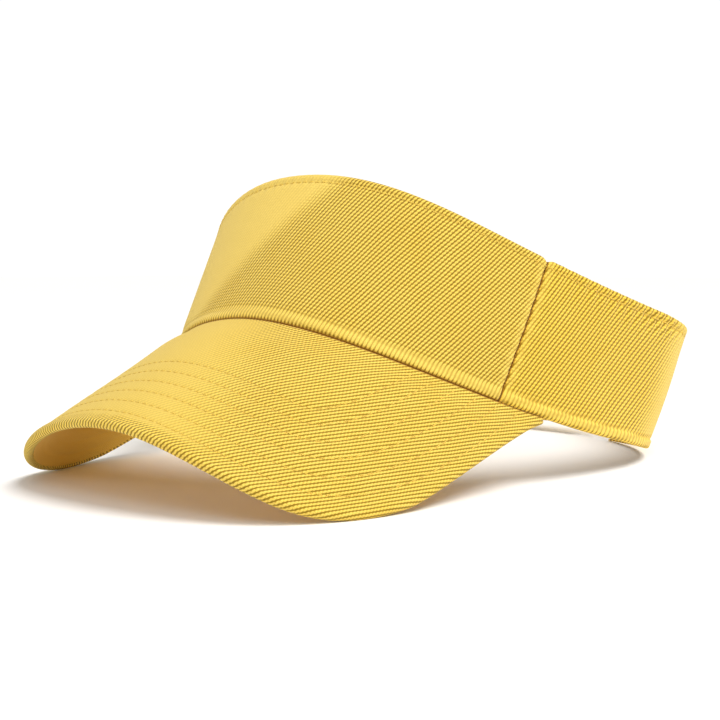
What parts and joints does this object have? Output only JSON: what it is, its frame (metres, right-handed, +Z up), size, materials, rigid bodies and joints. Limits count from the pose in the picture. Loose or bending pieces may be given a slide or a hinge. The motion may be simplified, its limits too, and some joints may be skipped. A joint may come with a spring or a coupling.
{
  "type": "sun visor",
  "caption": "Open-top sun visor: tall front band, side panels, padded sweatband, curved stitched brim and a hook-and-loop strap closure at the back.",
  "frame": {"origin": "centre of the bounding box's base, on the surface the visor lies on", "axes": "+X towards the wearer's left, +Y towards the back of the head, -Y the way the brim points, +Z up"},
  "size_m": [0.1818, 0.2568, 0.1041],
  "materials": {
    "twill": "mustard yellow cotton twill with a clear diagonal rib",
    "lining": "plain woven cotton lining in the same yellow",
    "sweatband": "padded plain cotton sweatband in the same yellow",
    "stiffener": "stiff open-weave interlining, off-white",
    "board": "smooth off-white brim board",
    "tape": "turned cotton seam allowance",
    "thread": "matching spun sewing thread",
    "hook": "nylon hook tape",
    "loop": "nylon loop tape"
  },
  "bodies": {
    "visor": {"front_panel": "twill", "left_side_panel": "twill", "right_side_panel": "twill", "front_stiffener": "stiffener", "front_lining": "lining", "left_side_lining": "lining", "right_side_lining": "lining", "sweatband": "sweatband", "brim_top_cover": "twill", "brim_board": "board", "brim_bottom_cover": "twill", "brim_seam_tape": "tape", "brim_stitch_row_1": "thread", "brim_stitch_row_2": "thread", "brim_stitch_row_3": "thread", "brim_stitch_row_4": "thread", "brim_stitch_row_5": "thread", "brim_stitch_row_6": "thread", "top_edge_stitching": "thread", "sweatband_stitching": "thread"},
    "outer_strap_body": {"outer_strap": "twill", "outer_strap_stitching": "thread", "hook_patch": "hook"},
    "inner_strap_body": {"inner_strap": "twill", "inner_strap_stitching": "thread", "loop_patch": "loop"}
  },
  "joints": [
    {"name": "outer_strap_open", "type": "hinge", "parent": "visor", "child": "outer_strap_body", "pos_m": [0.04147, 0.10575, 0.00667], "axis": [-0.0634, -0.4025, -0.9132], "range_deg": [0, 70]},
    {"name": "inner_strap_open", "type": "hinge", "parent": "visor", "child": "inner_strap_body", "pos_m": [-0.04082, 0.10443, 0.0073], "axis": [0.0641, -0.4022, -0.9133], "range_deg": [0, 20]}
  ]
}
